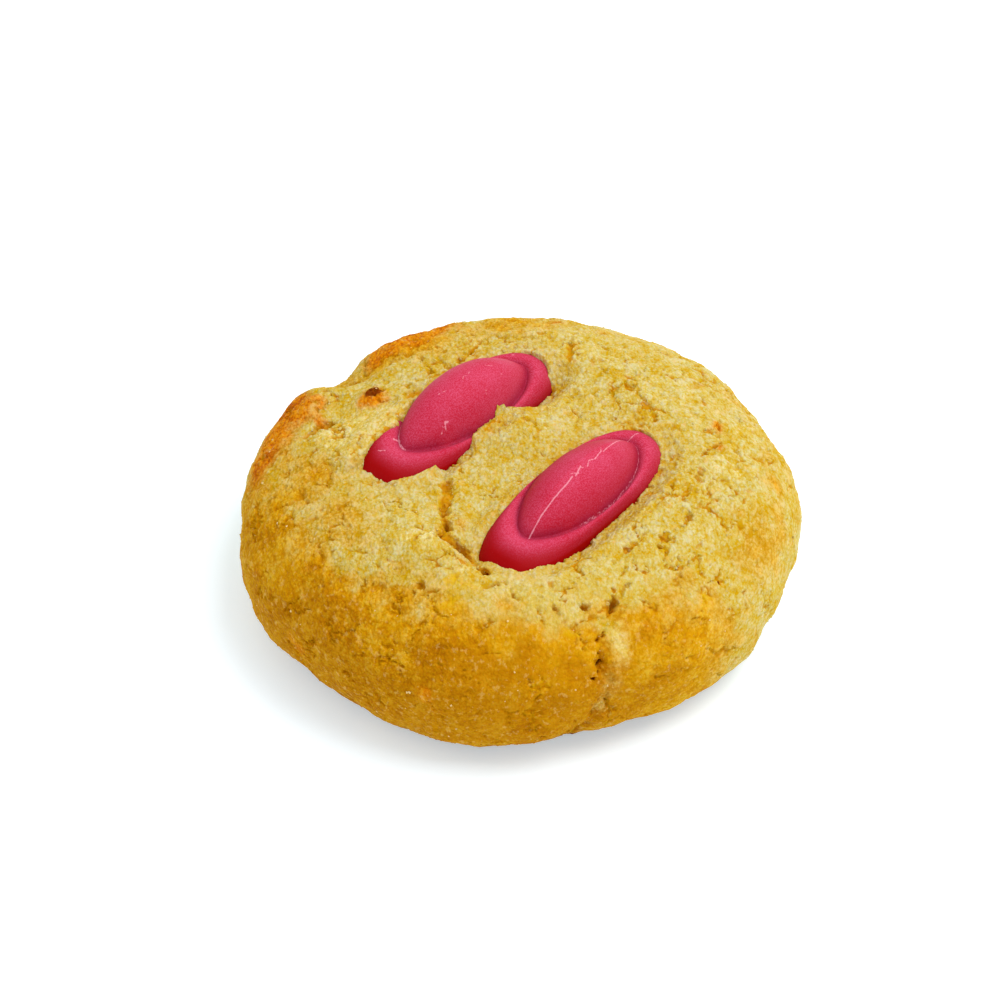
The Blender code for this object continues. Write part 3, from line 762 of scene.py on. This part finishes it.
# What baked: the foot and sides browned, most at the front and left, and the torn lips most of all. The
# patches of each kind: place, radius and strength.
PATCHES = {
    "golden": [
        ((17.5, -30.5), 3.6, 0.8), ((20, -37), 4, 0.3), ((3, -33), 5, 0.5), ((0, -38), 8, 0.2),
        ((-8, -35), 6, 0.2), ((-14, -38), 7, 0.2), ((-31, -1), 6, 0.35), ((2, 31), 6, 0.4),
        ((-12, 28), 5, 0.4), ((-16, 27), 4, 0.6), ((-20.5, 24.6), 2.5, 0.9), ((0, -33), 6, 0.3),
        ((-2, 28), 5, 0.5), ((-28, -4), 7, 0.5), ((-21, -13), 5, 0.3), ((-9, -24), 3, 0.5),
        ((34.8, -1), 2, 0.9), ((35, -8), 3.5, 0.7), ((33, -13), 4, 0.5), ((-28, -18), 2.5, 0.7),
        ((-23.2, -26.4), 2.4, 0.7), ((-27.3, -2.3), 1.3, 0.7), ((-32.7, 1.8), 1, 0.8),
        ((-34.5, -10.5), 2, 0.6), ((-36, -6), 2.5, 0.5), ((-31.4, -6), 1.2, 0.6),
        ((12.1, 28.4), 1.3, 0.5), ((2, 30), 5, 0.5), ((22, 27), 6, 0.5), ((31, 18), 4, 0.4),
        ((-9.4, -6), 1.3, 0.8), ((-7.5, -13.6), 1.1, 0.8), ((7.3, 7.7), 1.0, 0.8), ((35, 9), 3, 0.5),
        ((33, 2.7), 1.2, 0.6), ((-26, -30), 6, 0.4), ((-20, -12), 4, 0.2), ((-27, 24), 5, 0.6),
        ((-6, 29), 4, 0.3), ((43.5, -13.6), 1.5, 0.7), ((27, 7), 1.2, 0.9),
    ],
    "toasted": [
        ((-32, 15), 3.5, 0.9), ((-29, 13.6), 2.5, 1.0), ((-34, 9), 3.5, 0.8), ((-21.4, 26.5), 2.6, 0.9),
        ((-16, 29), 3.5, 0.9), ((-10, 31), 3.5, 0.6), ((5.2, 30.5), 1.2, 0.8), ((36.6, 10.4), 1.3, 0.8),
        ((-28.5, -18), 1.2, 0.4), ((-13.5, -38.5), 1.5, 0.6), ((-12.4, -41), 1.1, 0.4),
        ((-34, -27), 2.0, 0.5), ((27, 7), 0.9, 0.7), ((26.6, 2.4), 0.8, 0.9), ((-20.7, 12.5), 2.0, 1.5),
        ((17.5, -29.6), 2, 0.25), ((-36.6, -14.5), 1.6, 0.5), ((-7.5, -20.4), 0.9, 0.35),
        ((34.8, -1), 1, 0.4), ((-9.4, -5.6), 0.8, 0.5), ((-27.6, 9.2), 1.3, 0.8), ((-36, 3), 4, 0.55),
        ((-37, -4), 2.5, 0.3),
    ],
    "creamy": [
        ((-13.2, -17.3), 2.6, 0.9), ((-7.6, -22.8), 2.4, 0.6), ((-23, 0.5), 2.5, 0.6),
        ((28, -31), 6, 0.2), ((-17.8, 6.8), 3, 1.2), ((-22, 10), 2.6, 0.7), ((-25, 5), 3, 0.6),
        ((27.5, -1), 3, 0.5), ((24, -14), 4, 0.3), ((14, -22), 5, 0.3), ((-2, -25), 3, 0.4),
        ((-24, -16), 2, 0.3), ((-15, -12), 3, 0.4), ((-10, 13), 2, 0.3), ((2, -27), 2.5, 0.4),
        ((12.5, -31), 1.2, 0.6), ((10, 22), 7, 0.35), ((20, 13), 7, 0.35), ((30, 8), 5, 0.3),
        ((14, -33), 2.6, 0.5), ((13.6, -38), 2.2, 0.35), ((12.6, -42), 2.0, 0.4), ((-20, 4), 4, 0.5),
        ((-14, 9.5), 2.5, 0.6),
    ],
    "lemony": [
        ((0.5, -27.5), 0.5, 1.0), ((-8.6, -23.2), 0.7, 0.8), ((17, -22), 0.7, 0.6),
        ((24.8, -23.6), 1.1, 0.7), ((6.6, -31.4), 1.2, 0.6), ((-6.5, -9.6), 0.8, 0.7),
        ((4.8, 6.3), 0.6, 0.8), ((25, 16.4), 1.3, 0.6), ((-4, 4), 1.6, 0.5), ((15.8, -23.8), 0.6, 0.6),
        ((-28.7, 19), 3, 0.5), ((-24, 22), 3, 0.6), ((-8, -25.2), 2.5, 0.8),
    ],
    "sleek": [((2, -36), 13, 0.9), ((22, -30), 8, 0.5)],
    "scorched": [
        ((-20.6, 13.3), 1.2, 1.8), ((-31, 17), 0.9, 0.8), ((-29.6, 15.2), 0.6, 0.8),
        ((-34.2, -27), 0.5, 0.4), ((-35.5, -28.6), 0.5, 0.5), ((-12.4, -41.4), 0.4, 0.5),
    ],
}
# How far out the front left turns golden, then deep golden, and the rest of the side a little, each over
# this stretch. Out means from the middle and, below the shoulder, down the side as well.
SHOULDER = 21 * MM
GOLDEN_FROM, GOLDEN_OVER = 27.5 * MM, 11 * MM
DEEP_FROM, DEEP_OVER = 35 * MM, 10 * MM
SIDE_FROM, SIDE_OVER = 21 * MM, 7 * MM

patches = {
    kind: sum(strength * spot(torn, place, radius) for place, radius, strength in places)
    for kind, places in PATCHES.items()
}
azimuth = np.arctan2(smooth[:, 1], smooth[:, 0])
walk = np.linalg.norm(smooth[:, :2], axis=1) + np.maximum(SHOULDER - smooth[:, 2], 0)
front_left = smooth_step((np.cos(azimuth + 1.95) - 0.05) / 0.8)
mottle = noise_field(smooth, 9 * MM, 3, seed=40)
speckle = noise_field(smooth, 2.4 * MM, 3, seed=41)
wander = walk + (3.5 * mottle + 2.5 * speckle) * MM
bake = 0.8 * smooth_step((wander - GOLDEN_FROM) / GOLDEN_OVER)
bake += 0.6 * smooth_step((wander - DEEP_FROM) / DEEP_OVER)
bake *= front_left
bake += (0.2 + 0.1 * np.cos(azimuth + 2.2)) * smooth_step((walk - SIDE_FROM) / SIDE_OVER)
bake += 0.35 * mottle + 0.3 * speckle + 0.7 * patches["golden"] - 0.6 * patches["creamy"]
masks = {
    "bake": np.clip(bake, 0, 2),
    "toast": np.clip(patches["toasted"] * (1 + 0.6 * mottle + 0.5 * speckle), 0, 1.5),
    "cream": np.clip(patches["creamy"] * (1 + 0.8 * speckle), 0, 1),
    "lemon": np.clip(patches["lemony"] * (1 + 0.8 * speckle), 0, 1),
    "scorch": np.clip(patches["scorched"], 0, 1.5),
    "sleek": np.clip(patches["sleek"], 0, 1),
    "hollow": hollow,
    "blush": blush,
    "low": np.clip(0.5 - 0.5 * fine / (0.3 * MM), 0, 1),
    "under": 1 - smooth_step((smooth[:, 2] - 1.2 * MM * (1 + speckle)) / (2 * MM)),
}
for name, values in masks.items():
    add_mask(dough_mesh, name, values)

# Each finish of the dough as its colours in its creases, between them and on its grains; the darker colour
# in creases is partly painted shade.
PALE = (linear(198, 154, 6), linear(202, 177, 84), linear(209, 197, 142))
GOLD = (linear(186, 122, 0), linear(204, 146, 2), linear(216, 170, 46))
AMBER = (linear(168, 104, 0), linear(186, 124, 0), linear(200, 144, 20))
TOAST = (linear(172, 80, 0), linear(210, 122, 0), linear(222, 150, 22))
CREAM = (linear(208, 166, 40), linear(220, 196, 104), linear(230, 216, 160))
LEMON = linear(212, 166, 4)
OCHRE = linear(202, 136, 0)
BROWN = linear(120, 50, 0)
UNDER = linear(120, 66, 24)
BLUSH = linear(196, 148, 112)
DUST = linear(222, 180, 98)
TONE_STOPS = (0.4, 0.5, 0.6)  # the tones at which those three colours are reached
# What varies within a finish: its finest grains, clumps, blotches, crystals packed side by side and dust.
FINE_SIZE = 0.30 * MM
MEDIUM_SIZE = 1.0 * MM
BLOTCH_SIZE = 3.2 * MM
CRYSTAL_SIZE = 0.5 * MM
DUST_SIZE = 0.8 * MM
GRAIN_STRETCH = (1.0, 0.75, 1.0)  # the grains are a little longer from front to back


def dough_material(name, subsurface):
    material, tree, shader = new_material(
        name, roughness=0.75, specular=0.03, subsurface=subsurface, radius=(1.4 * MM, 0.8 * MM, 0.2 * MM)
    )
    drawn_out = {0: place_in(tree), 1: GRAIN_STRETCH}
    place = Socket.node(tree, "ShaderNodeVectorMath", {"operation": "MULTIPLY"}, drawn_out, "Vector")
    fine = grain(tree, place, FINE_SIZE, 2.0, 0.6) - 0.5
    medium = grain(tree, place, MEDIUM_SIZE, 4.0, 0.6, 0.2) - 0.5
    broad = grain(tree, place, BLOTCH_SIZE, 3.0) - 0.5
    seams = cells(tree, place, CRYSTAL_SIZE, "Distance") - 0.4
    shade = cells(tree, place, CRYSTAL_SIZE, "Color") - 0.5
    rough = 1.0 - mask(tree, "sleek") * 0.55
    # Painted shade: the tone is darker towards the seams between grains and where the relief is low.
    tone = fine * 0.34 + medium * 0.36 + broad * 0.3 + shade * 0.08 - seams * 0.1
    tone = (tone - (mask(tree, "low") - 0.5) * 0.12) * rough + 0.51

    def finish(colours):
        stops = list(zip(TONE_STOPS, colours))
        return Socket.node(tree, "ShaderNodeValToRGB", {"stops": stops}, {"Fac": tone}, "Color")

    bake = ramp(tree, mask(tree, "bake") + broad * 0.7 + medium * 0.5, 0.05, 1.05)
    toast = ramp(tree, mask(tree, "toast") + medium * 0.6, 0.1, 0.8)
    cream = ramp(tree, mask(tree, "cream") + medium * 0.5, 0.2, 0.8)
    lemon = ramp(tree, mask(tree, "lemon") + medium * 0.6, 0.25, 0.8)
    scorch = ramp(tree, mask(tree, "scorch") + medium * 0.8, 0.4, 0.9)
    dust = ramp(tree, grain(tree, place, DUST_SIZE, 3.0, 0.6), 0.56, 0.68)
    hollow = mask(tree, "hollow") + (fine + medium) * 0.4
    colour = blend(tree, bake, finish(PALE), finish(GOLD))
    colour = blend(tree, ramp(tree, mask(tree, "bake") + broad * 0.6, 1.05, 1.7), colour, finish(AMBER))
    colour = blend(tree, cream * 0.75, colour, finish(CREAM))
    colour = blend(tree, toast, colour, finish(TOAST))
    colour = blend(tree, lemon * 0.8, colour, LEMON)
    colour = blend(tree, dust * 0.4, colour, DUST)
    colour = blend(tree, mask(tree, "blush") * 0.12, colour, BLUSH)
    # Painted shade, partly the crumb's own colour: ochre and then brown in pits, fissures, holes, cracks
    # and gaps.
    colour = blend(tree, ramp(tree, hollow, 0.12, 0.65) * 0.9, colour, OCHRE)
    colour = blend(tree, ramp(tree, hollow, 0.8, 1.25), colour, BROWN)
    colour = blend(tree, scorch, colour, BROWN)
    colour = blend(tree, mask(tree, "under") * 0.85, colour, UNDER)
    feed(tree, colour, shader, "Base Color")
    relief = (fine * 0.5 + medium * 0.6 - seams * 0.8) * rough
    bump(tree, shader, relief, strength=1.0, depth=0.3 * MM)
    return material


whole = in_scene("cookie_whole", dough_mesh)
thinner = whole.modifiers.new("thinner", "DECIMATE")
thinner.ratio = DOUGH_KEPT
kept_mesh = bpy.data.meshes.new_from_object(whole.evaluated_get(bpy.context.evaluated_depsgraph_get()))
bpy.data.objects.remove(whole)
kept_mesh.shade_smooth()
dough = add_piece("cookie_dough", kept_mesh, dough_material("baked dough", 0.4))
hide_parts("cookie")

# ----------------------------------------------------------
# Loose grains: crumbs of the same dough and a few coarse sugar crystals, baked fast to the crust where
# they lay. They are angular, 0.1 to 0.7 mm across, and partly sunk in it.
# ----------------------------------------------------------

CRUMBS = 4500
CRUMB_SIZES = (0.12 * MM, 0.30 * MM)  # half widths
CRUMB_SUNK = 0.5  # share of its half width by which the middle of a grain lies in the crust
SUGARS = 220
SUGAR_SIZES = (0.08 * MM, 0.16 * MM)
SUGAR_SUNK = 0.3
SUGAR_WHITE = linear(226, 196, 128)
SIZE_SKEW = 2.5  # exponent of the draw of sizes: the higher, the more small ones
LOWEST = 0.02 * MM  # no grain reaches down to the floor


def scatter(name, count, sizes, grain_form, sunk, density, draw):
    """One mesh of grains strewn over the dough, each turned and stretched. Also a vertex of the dough near
    each grain, and how many vertices a grain has."""
    corners = vertices_of(kept_mesh)
    triangles = np.empty(len(kept_mesh.loop_triangles) * 3, np.int32)
    kept_mesh.loop_triangles.foreach_get("vertices", triangles)
    triangles = triangles.reshape(-1, 3)
    a, b, c = (corners[triangles[:, k]] for k in range(3))
    across = np.cross(b - a, c - a)
    area = np.linalg.norm(across, axis=1)
    share = area * density(corners, triangles)
    chosen = draw.choice(len(triangles), count, p=share / share.sum())
    u, v = draw.random((2, count, 1))
    u, v = np.where(u + v > 1, 1 - u, u), np.where(u + v > 1, 1 - v, v)
    size = sizes[0] + (sizes[1] - sizes[0]) * draw.random((count, 1)) ** SIZE_SKEW
    up = across[chosen] / np.maximum(area[chosen, None], 1e-12)
    centre = a[chosen] + u * (b - a)[chosen] + v * (c - a)[chosen] - up * size * sunk
    form = bmesh.new()
    grain_form(form)
    form.verts.ensure_lookup_table()
    base = np.array([vert.co for vert in form.verts])
    sides = np.array([[vert.index for vert in face.verts] for face in form.faces])
    form.free()
    turns, _ = np.linalg.qr(draw.normal(size=(count, 3, 3)))
    knocks = 1 + 0.25 * draw.uniform(-1, 1, (count, len(base), 3))
    stretches = draw.uniform(0.7, 1.2, (count, 1, 3))
    bodies = np.einsum("nij,nkj->nki", turns, base * knocks * stretches) * size[:, None] + centre[:, None]
    bodies[:, :, 2] = np.maximum(bodies[:, :, 2], LOWEST)
    faces = (sides + np.arange(count)[:, None, None] * len(base)).reshape(-1, sides.shape[1])
    mesh = bpy.data.meshes.new(name)
    mesh.from_pydata(bodies.reshape(-1, 3).tolist(), [], faces.tolist())
    return mesh, triangles[chosen, 0], len(base)


def kept_mask(name):
    values = np.empty(len(kept_mesh.vertices), np.float32)
    kept_mesh.attributes[name].data.foreach_get("value", values)
    return values


kept_points = vertices_of(kept_mesh)
in_bed = np.zeros(len(kept_points), bool)  # which of them lie under a chocolate
for matrix, casting in beds.values():
    local = moved(kept_points, matrix.inverted())
    inside = (np.abs(local[:, 0]) < RIM_LENGTH / 2) & (np.abs(local[:, 1]) < RIM_WIDTH / 2)
    for k in np.flatnonzero(inside & (local[:, 2] > -6 * MM)):
        in_bed[k] = casting.ray_cast(Vector(kept_points[k]), matrix.col[2].to_3d())[0] is not None


def on_crust(corners, triangles):
    """Grains lie on the crust that shows, thickest in its hollows and along the rims of the chocolates."""
    first = triangles[:, 0]
    lies_open = ~in_bed[triangles].any(axis=1) & (corners[first, 2] > 1.5 * MM)
    return lies_open * (0.5 + kept_mask("low")[first] + 1.5 * kept_mask("blush")[first])


def icosahedron(form):
    bmesh.ops.create_icosphere(form, subdivisions=1, radius=1)


def block(form):
    bmesh.ops.create_cube(form, size=1.6)


draw = np.random.default_rng(11)
crumb_mesh, roots, count = scatter("crumbs", CRUMBS, CRUMB_SIZES, icosahedron, CRUMB_SUNK, on_crust, draw)
for name in masks:
    share = {"hollow": 0.5, "low": 0.3}.get(name, 1.0)
    add_mask(crumb_mesh, name, np.repeat(kept_mask(name)[roots] * share, count))
add_piece("crumbs", crumb_mesh, dough_material("baked crumbs", 0.0))

sugar_mesh, _, _ = scatter("sugar", SUGARS, SUGAR_SIZES, block, SUGAR_SUNK, on_crust, draw)
sugar, _, shader = new_material("sugar", roughness=0.35, specular=0.4)
shader.inputs["Base Color"].default_value = SUGAR_WHITE
add_piece("sugar_grains", sugar_mesh, sugar)

# ----------------------------------------------------------
# The studio: a plain pale floor, even light all round, one broad soft box high on the right, and a camera
# with the photograph's view from the front, looking down at 43 degrees.
# ----------------------------------------------------------

FLOOR_RADIUS = 3.0
FLOOR_WHITE = (0.74, 0.79, 0.82, 1.0)
FLOOR_GLOW = (0.32, 0.375, 0.405, 1.0)  # light from the white floor, which lightens the shadow

disc = bmesh.new()
bmesh.ops.create_circle(disc, cap_ends=True, segments=96, radius=FLOOR_RADIUS)
floor_mesh = bpy.data.meshes.new("floor")
disc.to_mesh(floor_mesh)
disc.free()
floor = in_scene("floor", floor_mesh)
pale_floor, _, shader = new_material("pale floor", roughness=0.9, specular=0.0)
shader.inputs["Base Color"].default_value = FLOOR_WHITE
shader.inputs["Emission Color"].default_value = FLOOR_GLOW
shader.inputs["Emission Strength"].default_value = 1.0
floor_mesh.materials.append(pale_floor)

EVEN_LIGHT = 0.82

world = bpy.data.worlds.new("studio")
world.use_nodes = True
bpy.context.scene.world = world
sky = world.node_tree.nodes["Background"]
sky.inputs["Color"].default_value = (1.0, 1.0, 1.0, 1.0)
sky.inputs["Strength"].default_value = EVEN_LIGHT

BOX_PLACE = Vector((0.43, -0.01, 0.82))
BOX_SIZE = 0.6
BOX_POWER = 5.4  # watts

soft_box = bpy.data.lights.new("key", "AREA")
soft_box.energy = BOX_POWER
soft_box.size = BOX_SIZE
lamp = in_scene("key", soft_box)
lamp.location = BOX_PLACE
lamp.rotation_euler = (-BOX_PLACE).to_track_quat("-Z", "Y").to_euler()

CAMERA_ELEVATION = math.radians(43)
CAMERA_DISTANCE = 0.50
CAMERA_AIM = Vector((-2.73, 1.36, 12.6)) * MM
PIXELS_PER_METRE = 7506.7  # at the point that the camera aims at
IMAGE_WIDTH = 1000  # pixels
SENSOR = 36.0

camera_data = bpy.data.cameras.new("camera")
camera_data.sensor_width = SENSOR
camera_data.lens = SENSOR * PIXELS_PER_METRE * CAMERA_DISTANCE / IMAGE_WIDTH
camera_data.clip_start = 10 * MM
camera = in_scene("camera", camera_data)
towards = Vector((0, -math.cos(CAMERA_ELEVATION), math.sin(CAMERA_ELEVATION)))
camera.location = CAMERA_AIM + towards * CAMERA_DISTANCE
camera.rotation_euler = (math.pi / 2 - CAMERA_ELEVATION, 0, 0)
bpy.context.scene.camera = camera
bpy.context.scene.view_settings.view_transform = "Standard"
